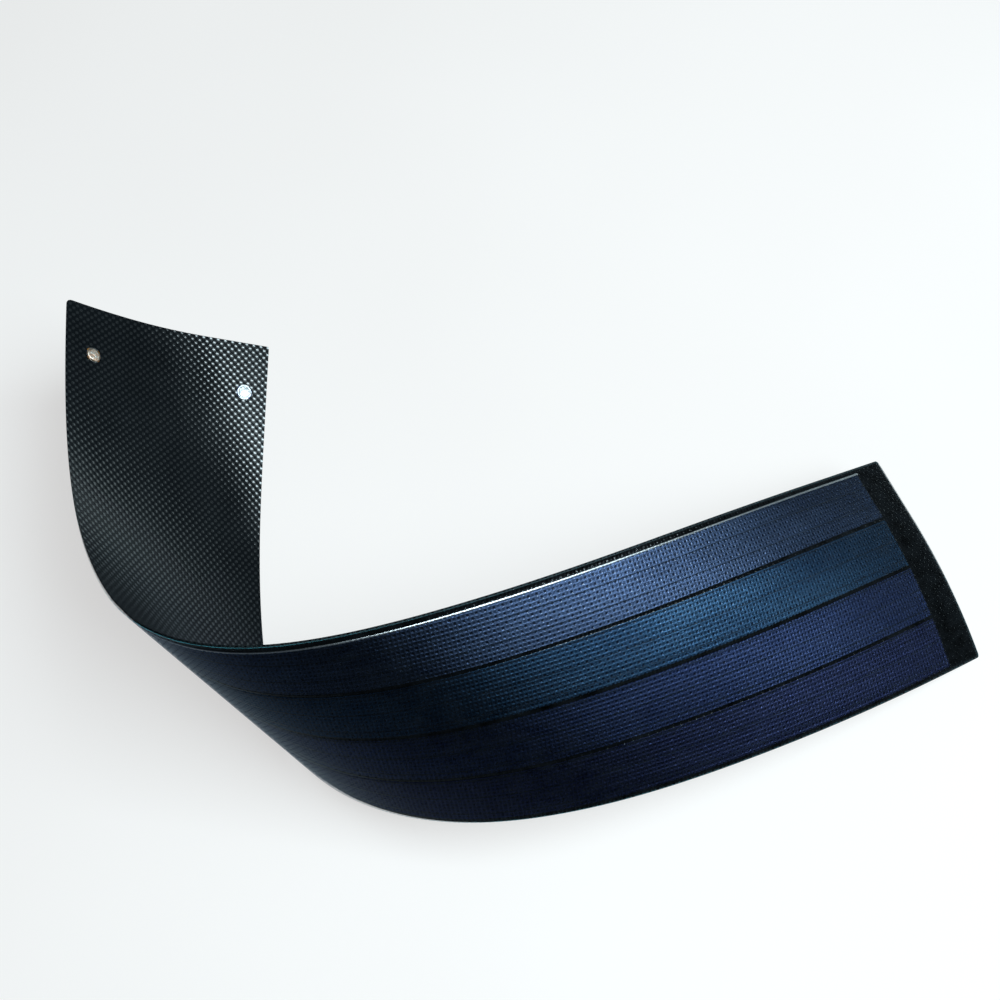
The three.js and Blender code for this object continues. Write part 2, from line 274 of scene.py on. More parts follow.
def make_curl():
    cad_stations = fold_stations(CAD_FOLD_STEP, CAD_FOLD_ANGLE)
    cad_placements = fold_placements(cad_stations)
    rotation = standing_rotation(cad_placements, cad_stations)
    shift = cad_shift(cad_placements, cad_stations, rotation)
    stations = fold_stations(FINE_FOLD_STEP)
    placements = fold_placements(stations)
    s, w = np.meshgrid(np.linspace(0, SHEET_LENGTH, 90), np.linspace(0, SHEET_WIDTH, 9))
    fine = bent(placements, stations, s, w, 0.4).reshape(-1, 3)
    coarse = bent(cad_placements, cad_stations, s, w, 0.4).reshape(-1, 3) @ rotation.T + shift
    turn, move = rigid_fit(fine, coarse)
    whole = np.eye(4)
    whole[:3, :3], whole[:3, 3] = turn, move
    return whole @ placements, stations


PLACEMENTS, STATIONS = make_curl()


def place(s, w, n):
    """Bent positions of flat points, in metres."""
    return bent(PLACEMENTS, STATIONS, s, w, n) * MM


def direction(azimuth, elevation):
    """Unit vector towards a place round the object. Azimuth 0 is towards -Y and 90 towards +X."""
    a, e = math.radians(azimuth), math.radians(elevation)
    return Vector((math.sin(a) * math.cos(e), -math.cos(a) * math.cos(e), math.sin(e)))


# ======================= flat outlines =======================

def rectangle(s0, s1, w0, w1, radii=(0.0, 0.0, 0.0), step=2.0):
    """Closed outline of a rectangle, anticlockwise, with points every step. The radii are those of the
    corners at its start, at the upper end and at the lower end."""
    start, upper, lower = radii
    centres = [
        (s0 + start, w0 + start, start, 180),
        (s1 - upper, w0 + upper, upper, 270),
        (s1 - lower, w1 - lower, lower, 0),
        (s0 + start, w1 - start, start, 90),
    ]
    corners = []
    for s, w, radius, first in centres:
        turns = np.radians(first + np.linspace(0, 90, 7 if radius > 0 else 1))
        corners += [(s + radius * math.cos(t), w + radius * math.sin(t)) for t in turns]
    points = []
    for a, b in zip(corners, corners[1:] + corners[:1]):
        count = max(1, round(math.dist(a, b) / step))
        points += [tuple(np.add(a, np.subtract(b, a) * k / count)) for k in range(count)]
    return np.array(points)


def circle(s, w, radius, sides=40):
    turns = np.arange(sides) / sides * 2 * math.pi
    return np.stack([s + radius * np.cos(turns), w + radius * np.sin(turns)], axis=1)


def strip(s0, s1, centre, width, margin=0.0, step=2.0):
    half = width / 2 + margin
    return rectangle(s0 - margin, s1 + margin, centre - half, centre + half, step=step)


def inside(points, loop):
    """True for each point inside a closed loop."""
    x, y = points[:, 0], points[:, 1]
    result = np.zeros(len(points), bool)
    for (x0, y0), (x1, y1) in zip(loop, np.roll(loop, -1, axis=0)):
        crosses = (y0 > y) != (y1 > y)
        if y0 != y1:
            result ^= crosses & (x < (x1 - x0) * (y - y0) / (y1 - y0) + x0)
    return result


def distance_to(points, loop):
    """Distance of each point to the nearest corner of a loop, in blocks to save memory."""
    result = np.empty(len(points))
    for start in range(0, len(points), 2000):
        block = points[start:start + 2000]
        result[start:start + 2000] = np.sqrt(((block[:, None] - loop[None]) ** 2).sum(-1)).min(axis=1)
    return result


def triangulated(loops, step=INNER_STEP):
    """Flat triangles inside the first loop and outside the others, with points every step within.
    Returns (points, faces, loops as lists of point numbers)."""
    outline = loops[0]
    low, high = outline.min(axis=0), outline.max(axis=0)
    inner_s = np.linspace(low[0], high[0], max(2, round((high[0] - low[0]) / step) + 1))[1:-1]
    inner_w = np.linspace(low[1], high[1], max(2, round((high[1] - low[1]) / step) + 1))[1:-1]
    inner = np.stack(np.meshgrid(inner_s, inner_w), axis=-1).reshape(-1, 2)
    if len(inner):
        keep = inside(inner, outline) & (distance_to(inner, outline) > step * 0.4)
        for hole in loops[1:]:
            keep &= ~inside(inner, hole) & (distance_to(inner, hole) > step * 0.3)
        inner = inner[keep]
    points = np.vstack([*loops, inner])
    edges, numbers, start = [], [], 0
    for loop in loops:
        ring = list(range(start, start + len(loop)))
        edges += list(zip(ring, ring[1:] + ring[:1]))
        numbers.append(ring)
        start += len(loop)
    made = delaunay_2d_cdt([Vector(p) for p in points], edges, [], 0, 1e-6)
    origin = [members[0] if members else -1 for members in made[3]]
    faces = np.array([[origin[v] for v in face] for face in made[2]])
    centres = points[faces].mean(axis=1)
    keep = inside(centres, outline) & (faces >= 0).all(axis=1)
    for hole in loops[1:]:
        keep &= ~inside(centres, hole)
    faces = faces[keep]
    a, b, c = (points[faces[:, k]] for k in range(3))
    area = (b[:, 0] - a[:, 0]) * (c[:, 1] - a[:, 1]) - (b[:, 1] - a[:, 1]) * (c[:, 0] - a[:, 0])
    faces[area < 0] = faces[area < 0][:, ::-1]
    return points, faces, numbers


def grid_lines(start, end, step, extra=()):
    """Lines every step, tied to the lattice of the dimples, with others put in where they matter."""
    fixed = np.unique(np.round([start, end, *[e for e in extra if start < e < end]], 4))
    lattice = np.arange(math.ceil(start / step), math.floor(end / step) + 1) * step
    clear = np.abs(lattice[:, None] - fixed[None]).min(axis=1) > step * 0.36
    return np.sort(np.concatenate([fixed, lattice[clear]]))


def rounded(points, s0, s1, w0, w1, radii):
    """Draws the corner points of a grid in to its rounded corners."""
    start, upper, lower = radii
    corners = [
        (s0, 1, w0, 1, start), (s0, 1, w1, -1, start),
        (s1, -1, w0, 1, upper), (s1, -1, w1, -1, lower),
    ]
    for s_edge, sign, w_edge, side, radius in corners:
        centre = np.array([s_edge + sign * radius, w_edge + side * radius])
        away = points - centre
        length = np.linalg.norm(away, axis=1)
        outside = (away[:, 0] * sign < 1e-9) & (away[:, 1] * side < 1e-9) & (length > radius)
        points[outside] = centre + away[outside] * (radius / length[outside])[:, None]
    return points


def embossed_grid(s_lines, w_lines, radii, windows=()):
    """A fine grid of quads with rounded corners and round windows. Returns (points, faces, loops)."""
    rows, columns = len(s_lines), len(w_lines)
    points = np.stack(np.meshgrid(s_lines, w_lines, indexing="ij"), axis=-1).reshape(-1, 2)
    number = np.arange(rows * columns).reshape(rows, columns)
    box = (s_lines[0], s_lines[-1], w_lines[0], w_lines[-1])
    points = rounded(points, *box, radii)
    rim = np.concatenate([
        number[:-1, 0], number[-1, :-1], number[:0:-1, -1], number[0, :0:-1],
    ])
    loops = [rim.tolist()]
    gone = np.zeros((rows - 1, columns - 1), bool)
    for s, w, radius in windows:
        reach = radius * 0.88
        i0, i1 = np.abs(s_lines - (s - reach)).argmin(), np.abs(s_lines - (s + reach)).argmin()
        j0, j1 = np.abs(w_lines - (w - reach)).argmin(), np.abs(w_lines - (w + reach)).argmin()
        gone[i0:i1, j0:j1] = True
        for ring in (2, 1):
            block = number[i0 - ring:i1 + ring + 1, j0 - ring:j1 + ring + 1].ravel()
            away = points[block] - (s, w)
            length = np.linalg.norm(away, axis=1)
            least = radius + 0.5 * ring
            points[block] = (s, w) + away * np.maximum(1, least / np.maximum(length, 1e-6))[:, None]
        ring = np.concatenate([
            number[i0:i1, j0], number[i1, j0:j1], number[i1:i0:-1, j1], number[i0, j1:j0:-1],
        ])
        away = points[ring] - (s, w)
        points[ring] = (s, w) + away / np.linalg.norm(away, axis=1)[:, None] * radius
        loops.append(ring[::-1].tolist())
    quads = np.stack([number[:-1, :-1], number[1:, :-1], number[1:, 1:], number[:-1, 1:]], axis=-1)
    return points, quads[~gone], loops


# ======================= closed bodies =======================

def add_object(name, positions, faces, flat, materials, kinds):
    """A smooth-shaded mesh that carries its flat coordinates, for the materials to read."""
    mesh = bpy.data.meshes.new(name)
    mesh.from_pydata([tuple(p) for p in positions.tolist()], [], faces)
    mesh.update()
    attribute = mesh.attributes.new("flat", "FLOAT_VECTOR", "POINT")
    attribute.data.foreach_set("vector", np.ascontiguousarray(flat, np.float32).ravel())
    for material in materials:
        mesh.materials.append(material)
    mesh.polygons.foreach_set("material_index", np.asarray(kinds, np.int32))
    mesh.shade_smooth()
    mesh.set_sharp_from_angle(angle=math.radians(SHARP_ANGLE))
    piece = bpy.data.objects.new(name, mesh)
    bpy.context.scene.collection.objects.link(piece)
    return piece


def closed_plate(name, high, low, high_level, low_level, materials):
    """A thin closed body between two faces whose rims match, bent into the curl. The materials are
    those of the high face, the low face and the cut edge."""
    high_points, high_faces, high_loops = high
    low_points, low_faces, low_loops = low
    hs, hw = high_points.T
    ls, lw = low_points.T
    top = place(hs, hw, high_level(hs, hw))
    bottom = place(ls, lw, low_level(ls, lw))
    base = len(high_points)
    faces = [list(f) for f in np.asarray(high_faces).tolist()]
    kinds = [0] * len(faces)
    lower = [[base + v for v in reversed(f)] for f in np.asarray(low_faces).tolist()]
    faces += lower
    kinds += [1] * len(lower)
    for upper_ring, lower_ring in zip(high_loops, low_loops):
        for k in range(len(upper_ring)):
            j = (k + 1) % len(upper_ring)
            faces.append([base + lower_ring[k], base + lower_ring[j], upper_ring[j], upper_ring[k]])
            kinds.append(2)
    used = np.zeros(base + len(low_points), bool)
    used[np.concatenate([np.array(f) for f in faces])] = True
    renumber = np.cumsum(used) - 1
    faces = [[int(renumber[v]) for v in f] for f in faces]
    flat = np.zeros((len(used), 3))
    flat[:base, 0], flat[:base, 1] = hs, hw
    flat[base:, 0], flat[base:, 1] = ls, lw
    positions = np.vstack([top, bottom])
    return add_object(name, positions[used], faces, flat[used], materials, kinds)


def level(n):
    return lambda s, w: np.full_like(s, n)


def plate(name, loops, heights, material, step=INNER_STEP):
    """A plain thin body of one material, between two levels."""
    face = triangulated(loops, step)
    return closed_plate(name, face, face, level(heights[1]), level(heights[0]), [material] * 3)


def show(piece, node):
    """Hands a finished piece to the frame: the CAD node that it stands for."""
    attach(piece, "root")
    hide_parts(node)


# ======================= node helpers =======================

class Shader:
    """A material's node tree, with short calls for the nodes used here."""

    def __init__(self, name, colour):
        self.material = bpy.data.materials.new(name)
        self.material.use_nodes = True
        self.material.diffuse_color = (*colour, 1)
        self.tree = self.material.node_tree
        self.tree.nodes.clear()
        self.output = self.tree.nodes.new("ShaderNodeOutputMaterial")

    def node(self, kind, **settings):
        node = self.tree.nodes.new(kind)
        for key, value in settings.items():
            setattr(node, key, value)
        return node

    def feed(self, socket, value):
        if isinstance(value, bpy.types.NodeSocket):
            self.tree.links.new(value, socket)
        elif value is not None:
            socket.default_value = value

    def maths(self, operation, a, b=None, c=None):
        node = self.node("ShaderNodeMath", operation=operation)
        for socket, value in zip(node.inputs, (a, b, c)):
            self.feed(socket, value)
        return node.outputs[0]

    def flat(self):
        return self.node("ShaderNodeAttribute", attribute_name="flat").outputs["Vector"]

    def scaled(self, vector, along, across, through=1.0):
        node = self.node("ShaderNodeVectorMath", operation="MULTIPLY")
        self.feed(node.inputs[0], vector)
        node.inputs[1].default_value = (along, across, through)
        return node.outputs[0]

    def split(self, vector):
        node = self.node("ShaderNodeSeparateXYZ")
        self.feed(node.inputs[0], vector)
        return node.outputs[0], node.outputs[1]

    def noise(self, vector, scale, detail=3.0, roughness=0.5):
        node = self.node("ShaderNodeTexNoise")
        self.feed(node.inputs["Vector"], vector)
        node.inputs["Scale"].default_value = scale
        node.inputs["Detail"].default_value = detail
        node.inputs["Roughness"].default_value = roughness
        return node.outputs["Fac"]

    def cells(self, vector, scale):
        node = self.node("ShaderNodeTexVoronoi")
        self.feed(node.inputs["Vector"], vector)
        node.inputs["Scale"].default_value = scale
        return node.outputs["Distance"]

    def range(self, value, low, high, to_low=0.0, to_high=1.0):
        """Carries low..high to to_low..to_high, and holds the ends."""
        node = self.node("ShaderNodeMapRange")
        self.feed(node.inputs["Value"], value)
        for key, number in zip(("From Min", "From Max", "To Min", "To Max"), (low, high, to_low, to_high)):
            node.inputs[key].default_value = number
        return node.outputs["Result"]

    def colours(self, value, stops):
        node = self.node("ShaderNodeValToRGB")
        ramp = node.color_ramp
        while len(ramp.elements) < len(stops):
            ramp.elements.new(0.5)
        for element, (position, colour) in zip(ramp.elements, stops):
            element.position = position
            element.color = (*colour, 1)
        self.feed(node.inputs[0], value)
        return node.outputs["Color"]

    def blend(self, factor, a, b):
        node = self.node("ShaderNodeMix", data_type="RGBA")
        self.feed(node.inputs["Factor"], factor)
        sockets = [s for s in node.inputs if s.type == "RGBA"]
        for socket, value in zip(sockets, (a, b)):
            self.feed(socket, (*value, 1) if isinstance(value, tuple) and len(value) == 3 else value)
        return [s for s in node.outputs if s.type == "RGBA"][0]

    def bump(self, height, strength, distance):
        node = self.node("ShaderNodeBump")
        node.inputs["Strength"].default_value = strength
        node.inputs["Distance"].default_value = distance
        self.feed(node.inputs["Height"], height)
        return node.outputs["Normal"]

    def wave(self, value, pitch):
        return self.maths("COSINE", self.maths("MULTIPLY", value, 2 * math.pi / pitch))

    def lattice(self, vector, sharpness=1.0):
        """The pressed pattern: 1 in a deep dimple, less in the shallow one beside it, 0 on a land."""
        s, w = self.split(vector)
        along = self.range(self.wave(s, DIMPLE_PITCH_S), -1, 1)
        across = self.range(self.wave(w, DIMPLE_PITCH_W), -1, 1)
        dimple = self.maths("POWER", self.maths("MULTIPLY", along, across), sharpness)
        turn = self.maths("MULTIPLY", self.wave(s, 2 * DIMPLE_PITCH_S), self.wave(w, 2 * DIMPLE_PITCH_W))
        depth = self.range(turn, -1, 1, SHALLOW_DIMPLE, 1.0)
        return self.maths("MULTIPLY", dimple, depth)

    def dots(self, vector):
        """The raised dots of the back: 1 on a dot and 0 between."""
        s, w = self.split(vector)
        turn = self.maths("MULTIPLY", self.wave(s, 2 * DOT_PITCH_S), self.wave(w, 2 * DOT_PITCH_W))
        return self.maths("POWER", self.range(turn, -1, 1), DOT_SHARPNESS)

    def ridge(self, value, centre, half_width):
        """1 on a line where the value is at the centre, falling to 0 at half_width from it."""
        away = self.maths("DIVIDE", self.maths("SUBTRACT", value, centre), half_width)
        fall = self.maths("MULTIPLY_ADD", self.maths("MULTIPLY", away, away), -1.0, 1.0)
        return self.maths("MAXIMUM", fall, 0.0)

    def principled(self, **values):
        node = self.node("ShaderNodeBsdfPrincipled")
        for key, value in values.items():
            socket = node.inputs[key.replace("_", " ")]
            if isinstance(value, tuple) and len(value) == 3:
                value = (*value, 1)
            self.feed(socket, value)
        return node.outputs[0]

    def clear(self):
        return self.node("ShaderNodeBsdfTransparent").outputs[0]

    def mix(self, factor, first, second):
        node = self.node("ShaderNodeMixShader")
        self.feed(node.inputs[0], factor)
        self.feed(node.inputs[1], first)
        self.feed(node.inputs[2], second)
        return node.outputs[0]

    def finish(self, surface):
        self.feed(self.output.inputs["Surface"], surface)
        return self.material


# ======================= materials =======================

def film_gloss():
    """The outer face of the embossed clear film: clear, with its gloss rising at grazing angles. It is
    dull on the flanks of the dimples, glints at their bottoms, and rounds over the upper edge of the
    first cell, where it shines."""
    shader = Shader("clear_film_gloss", (0.75, 0.8, 0.85))
    flat = shader.flat()
    s, w = shader.split(flat)
    grain = shader.noise(shader.scaled(flat, 1.4, 1.4), 1.0, detail=4.0)
    dimple = shader.lattice(flat, 0.9)
    bottom = shader.maths("POWER", dimple, 5.0)
    beyond_margin = shader.range(s, CELL_START - 0.4, CELL_START + 0.4)
    bead = shader.maths("MULTIPLY", shader.ridge(w, cell_edge(0) - 0.15, 0.45), beyond_margin)
    pressed = shader.maths("MULTIPLY_ADD", bead, 1.6, shader.maths("MULTIPLY", dimple, -1.0))
    normal = shader.bump(shader.maths("MULTIPLY_ADD", grain, 0.1, pressed), 1.0, 0.00009)
    weight = shader.node("ShaderNodeLayerWeight")
    shader.feed(weight.inputs["Normal"], normal)
    facing = shader.maths("POWER", weight.outputs["Facing"], 4.5)
    sheen = shader.maths("MULTIPLY_ADD", facing, 0.95, 0.018)
    land = shader.maths("MULTIPLY_ADD", shader.lattice(flat, 0.4), -1.6, 1.6)
    shine = shader.maths("MULTIPLY_ADD", bottom, 0.07, shader.maths("MULTIPLY", bead, 0.6))
    gloss = shader.maths("MULTIPLY_ADD", sheen, land, shine)
    smears = shader.noise(shader.scaled(flat, 0.05, 0.09), 1.0, detail=5.0)
    clean = shader.range(smears, 0.3, 0.7, 0.10, 0.18)
    rounding = shader.maths("MAXIMUM", bottom, bead)
    roughness = shader.maths("MULTIPLY_ADD", rounding, 0.25, clean)
    mirror = shader.principled(
        Base_Color=(0.95, 0.97, 1.0), Metallic=1.0, Roughness=roughness, Normal=normal,
    )
    return shader.finish(shader.mix(gloss, shader.clear(), mirror))


def bonded_face():
    """A face laminated to the next layer: no gloss of its own, only a trace of haze."""
    shader = Shader("bonded_face", (0.7, 0.75, 0.8))
    flat = shader.flat()
    haze = shader.range(shader.noise(shader.scaled(flat, 0.3, 0.3), 1.0), 0.3, 0.7, 0.0, 0.0012)
    milk = shader.principled(Base_Color=(0.55, 0.65, 0.75), Roughness=0.6, Specular_IOR_Level=0.0)
    return shader.finish(shader.mix(haze, shader.clear(), milk))


def clear_edge():
    """The cut edge of the clear plastic, which gathers light and looks blue-green."""
    shader = Shader("clear_plastic_edge", (0.2, 0.5, 0.55))
    flat = shader.flat()
    ticks = shader.noise(shader.scaled(flat, 2.2, 2.2), 1.0, detail=2.0)
    colour = shader.colours(ticks, [(0.3, (0.02, 0.14, 0.17)), (0.7, (0.09, 0.38, 0.46))])
    roughness = shader.range(ticks, 0.3, 0.7, 0.25, 0.5)
    return shader.finish(shader.principled(Base_Color=colour, Roughness=roughness, IOR=1.45))


def encapsulant():
    """Clear glue with a trace of milkiness."""
    shader = Shader("encapsulant_clear", (0.7, 0.75, 0.78))
    flat = shader.flat()
    haze = shader.range(shader.noise(shader.scaled(flat, 0.12, 0.2), 1.0, detail=4.0), 0.3, 0.75, 0.0, 0.003)
    milk = shader.principled(Base_Color=(0.55, 0.65, 0.78), Roughness=0.7, Specular_IOR_Level=0.0)
    return shader.finish(shader.mix(haze, shader.clear(), milk))


def cell_face(name, dark, bright, roughness):
    """Thin-film cell: a dark blue metallic face with rolling streaks, with painted shade in its colour where
    the film above is pressed in: every dimple is dimmed nearly to black."""
    shader = Shader(name, bright)
    flat = shader.flat()
    streaks = shader.noise(shader.scaled(flat, 0.02, 1.6), 1.0, detail=5.0, roughness=0.6)
    clouds = shader.noise(shader.scaled(flat, 0.016, 0.05), 1.0, detail=2.0)
    fine = shader.noise(shader.scaled(flat, 3.0, 3.0), 1.0, detail=2.0)
    tone = shader.maths("MULTIPLY_ADD", streaks, 0.12, shader.maths("MULTIPLY", clouds, 0.88))
    colour = shader.colours(tone, [(0.3, dark), (0.7, bright)])
    dimple = shader.lattice(flat, 0.7)
    # Painted shade: the colour is blended nearly to black in each dimple of the film above.
    colour = shader.blend(shader.maths("MULTIPLY", dimple, 0.95), colour, (0.001, 0.002, 0.009))
    height = shader.maths("MULTIPLY_ADD", fine, 0.08, shader.maths("MULTIPLY", dimple, -1.0))
    normal = shader.bump(height, 1.0, 0.00012)
    rough = shader.range(streaks, 0.3, 0.7, roughness - 0.04, roughness + 0.05)
    face = shader.node("ShaderNodeBsdfGlossy", distribution="BECKMANN")
    shader.feed(face.inputs["Color"], colour)
    shader.feed(face.inputs["Roughness"], rough)
    shader.feed(face.inputs["Normal"], normal)
    return shader.finish(face.outputs[0])


def black_sheet_face():
    """The embossed black back sheet: near-black plastic, polished on the raised dots and dull between."""
    shader = Shader("black_sheet_face", (0.02, 0.028, 0.035))
    flat = shader.flat()
    clouds = shader.noise(shader.scaled(flat, 0.03, 0.04), 1.0, detail=4.0)
    grain = shader.noise(shader.scaled(flat, 2.4, 2.4), 1.0, detail=3.0)
    tone = shader.maths("MULTIPLY_ADD", grain, 0.4, shader.maths("MULTIPLY", clouds, 0.6))
    colour = shader.colours(tone, [(0.3, (0.002, 0.0028, 0.0038)), (0.7, (0.005, 0.0065, 0.008))])
    dot = shader.dots(flat)
    polish = shader.range(dot, 0.3, 0.75, 0.12, 1.0)
    height = shader.maths("MULTIPLY_ADD", grain, 0.1, dot)
    normal = shader.bump(height, 1.0, 0.00011)
    rough = shader.range(clouds, 0.3, 0.7, 0.18, 0.26)
    return shader.finish(shader.principled(
        Base_Color=colour, Roughness=rough, Normal=normal, Specular_IOR_Level=polish, IOR=1.75,
    ))


def black_sheet_inside():
    """The bonded side of the black sheet, seen through the clear layers between the cells, with the
    film's dimples painted into its colour as shade and light: dark under the dimples of the film, greyer
    under its lands."""
    shader = Shader("black_sheet_inside", (0.006, 0.008, 0.01))
    flat = shader.flat()
    grain = shader.noise(shader.scaled(flat, 1.6, 1.6), 1.0, detail=3.0)
    land = shader.maths("SUBTRACT", 1.0, shader.lattice(flat, 0.4))
    tone = shader.maths("MULTIPLY", land, shader.range(grain, 0.2, 0.8, 0.7, 1.1))
    # Painted shade and light: the colour follows the film's dimples, near-black under each one and grey under
    # the lands, with a random grain.
    colour = shader.colours(tone, [(0.3, (0.0006, 0.0008, 0.0009)), (0.95, (0.042, 0.056, 0.062))])
    normal = shader.bump(land, 0.6, 0.00006)
    return shader.finish(shader.principled(
        Base_Color=colour, Roughness=0.55, Normal=normal, Specular_IOR_Level=0.05,
    ))


def metal(name, dark, bright, roughness, patch_scale, relief, anisotropic=0.0):
    """Worn metal with lighter and darker patches and a fine grain."""
    shader = Shader(name, bright)
    flat = shader.flat()
    patches = shader.noise(flat, patch_scale, detail=5.0, roughness=0.65)
    grain = shader.noise(shader.scaled(flat, 1.0, 5.0), 4.0, detail=2.0)
    colour = shader.colours(patches, [(0.32, dark), (0.68, bright)])
    rough = shader.range(patches, 0.3, 0.7, roughness + 0.14, roughness - 0.04)
    height = shader.maths("MULTIPLY_ADD", grain, 0.3, patches)
    normal = shader.bump(height, 0.6, relief)
    return shader.finish(shader.principled(
        Base_Color=colour, Metallic=1.0, Roughness=rough, Normal=normal, Anisotropic=anisotropic,
    ))


def solder_metal(name, stops, roughness):
    """Hand-laid solder: patches of tin, flux and bare copper over a lumpy skin."""
    shader = Shader(name, stops[-1][1])
    flat = shader.flat()
    patches = shader.noise(flat, 0.75, detail=4.0, roughness=0.6)
    lumps = shader.cells(flat, 1.3)
    colour = shader.colours(patches, stops)
    rough = shader.range(patches, 0.3, 0.7, roughness + 0.2, roughness)
    height = shader.maths("MULTIPLY_ADD", lumps, -0.6, patches)
    normal = shader.bump(height, 0.7, 0.0002)
    return shader.finish(shader.principled(
        Base_Color=colour, Metallic=1.0, Roughness=rough, Normal=normal,
    ))


def amber_film():
    """Thin amber plastic under the positive ribbon."""
    shader = Shader("amber_insulation", (0.3, 0.12, 0.02))
    flat = shader.flat()
    clouds = shader.noise(shader.scaled(flat, 0.4, 0.8), 1.0, detail=3.0)
    colour = shader.colours(clouds, [(0.3, (0.16, 0.05, 0.006)), (0.7, (0.36, 0.15, 0.02))])
    normal = shader.bump(clouds, 0.3, 0.00004)
    return shader.finish(shader.principled(Base_Color=colour, Roughness=0.35, Normal=normal))


def floor_paint():
    """A plain pale floor as the camera sees it. What the object gets back from it is set apart, by
    Is Camera Ray: a bright strip behind the curl and a dim floor elsewhere."""
    shader = Shader("pale_floor", (0.85, 0.85, 0.85))
    where = shader.node("ShaderNodeTexCoord").outputs["Object"]
    tone = shader.noise(where, 3.0, detail=2.0)
    colour = shader.colours(tone, [(0.3, (0.34, 0.31, 0.3)), (0.7, (0.38, 0.35, 0.34))])
    paper = shader.principled(
        Base_Color=colour, Roughness=0.9, Specular_IOR_Level=0.1,
        Emission_Color=(1.0, 0.99, 0.98), Emission_Strength=0.62,
    )
    behind = shader.node("ShaderNodeVectorMath", operation="DOT_PRODUCT")
    shader.feed(behind.inputs[0], where)
    behind.inputs[1].default_value = direction(140, 0)
    returned = shader.node("ShaderNodeEmission")
    shader.feed(returned.inputs["Color"], shader.colours(
        shader.range(behind.outputs["Value"], -0.5, 1.5), FLOOR_RETURN,
    ))
    path = shader.node("ShaderNodeLightPath")
    return shader.finish(shader.mix(path.outputs["Is Camera Ray"], returned.outputs[0], paper))


# ======================= the pressed surfaces =======================

def smooth_step(value):
    value = np.clip(value, 0, 1)
    return value * value * (3 - 2 * value)


def dimples(s, w):
    """The pressed pattern: 1 in a deep dimple, less in the shallow one beside it, 0 on a land."""
    along, across = np.pi * s / DIMPLE_PITCH_S, np.pi * w / DIMPLE_PITCH_W
    depth = SHALLOW_DIMPLE + (1 - SHALLOW_DIMPLE) * (1 + np.cos(along) * np.cos(across)) / 2
    return (np.cos(along) * np.cos(across)) ** 2 * depth


def dots(s, w):
    """The raised dots of the back: 1 on a dot and 0 between."""
    turn = np.cos(np.pi * s / DOT_PITCH_S) * np.cos(np.pi * w / DOT_PITCH_W)
    return ((1 + turn) / 2) ** DOT_SHARPNESS


def unevenness(s, w):
    """A slow, fixed variation, so that no two dimples are quite alike."""
    slow = 0.5 * np.sin(0.37 * s + 0.9 * w) + 0.3 * np.sin(0.83 * s - 0.61 * w)
    return slow + 0.2 * np.sin(2.1 * s + 1.7 * w)


def over_cells(s, w):
    """1 over the cells, falling to 0 just beyond their edges."""
    cover = np.zeros_like(s)
    for index in range(CELL_COUNT):
        start, end = cell_edge(index), cell_edge(index) + CELL_WIDTH
        across = np.minimum(w - start, end - w) / STEP_WIDTH + 1
        cover = np.maximum(cover, smooth_step(across))
    ends = np.minimum(s - CELL_START, COVER_END - s) / STEP_WIDTH + 1
    return cover * smooth_step(ends)


def film_height(s, w):
    """Level of the outer face of the film: highest over the cells, lowest over the upper margin."""
    cover = over_cells(s, w)
    depth = DIMPLE_DEPTH * (1 + 0.12 * unevenness(s, w)) * (1.5 - 0.5 * cover)
    below = smooth_step((w - cell_edge(0)) / STEP_WIDTH / 2 + 1)
    bare = FILM_OVER_MARGIN + (FILM_OVER_GAP - FILM_OVER_MARGIN) * below
    base = bare + (FILM_OVER_CELL - bare) * cover
    return base - depth * dimples(s, w) * (1 - 2.4 * cover * (1 - cover))


def tab_centre(index):
    return cell_edge(index + 1) - BUSBAR_OVERLAP + TAB_WIDTH / 2


def back_height(s, w):
    """Level of the back face: dots all over, smooth round the windows, and ridges over the ribbons."""
    height = DOT_HEIGHT * (1 + 0.15 * unevenness(s, w))
    away_from_window = np.ones_like(s)
    for pad_w in (PAD_POSITIVE_W, PAD_NEGATIVE_W):
        distance = np.hypot(s - PAD_S, w - pad_w)
        away_from_window = np.minimum(away_from_window, smooth_step((distance - WINDOW_RADIUS) / 1.6))
    ridges = np.zeros_like(s)
    for index in range(CELL_COUNT - 1):
        along = smooth_step(np.minimum(s - TAB_START, TAB_END - s) / 1.5)
        edge = np.exp(-((w - tab_centre(index) + TAB_WIDTH / 2) / 0.55) ** 2)
        ridges += along * edge * (0.09 if index == 1 else 0.03)
    return -height * dots(s, w) * away_from_window - ridges


# ======================= the pieces =======================

def whole_outline(inset, step=2.0):
    return rectangle(inset, SHEET_LENGTH - inset, inset, SHEET_WIDTH - inset, CORNERS, step)


def front_film(gloss, bonded, edge):
    extra_w = []
    for index in range(CELL_COUNT):
        start, end = cell_edge(index), cell_edge(index) + CELL_WIDTH
        extra_w += [start - STEP_WIDTH, start - STEP_WIDTH / 2, start, end, end + STEP_WIDTH]
    extra_s = [CELL_START - STEP_WIDTH, CELL_START, COVER_END, COVER_END + STEP_WIDTH]
    s_lines = grid_lines(FILM_INSET, SHEET_LENGTH - FILM_INSET, DIMPLE_PITCH_S / 2, extra_s)
    w_lines = grid_lines(FILM_INSET, SHEET_WIDTH - FILM_INSET, DIMPLE_PITCH_W / 2, extra_w)
    high = embossed_grid(s_lines, w_lines, CORNERS)
    low = triangulated([high[0][loop] for loop in high[2]])
    return closed_plate(
        "clear_front_film", high, low, film_height, level(FILM_UNDERSIDE), [gloss, bonded, edge],
    )


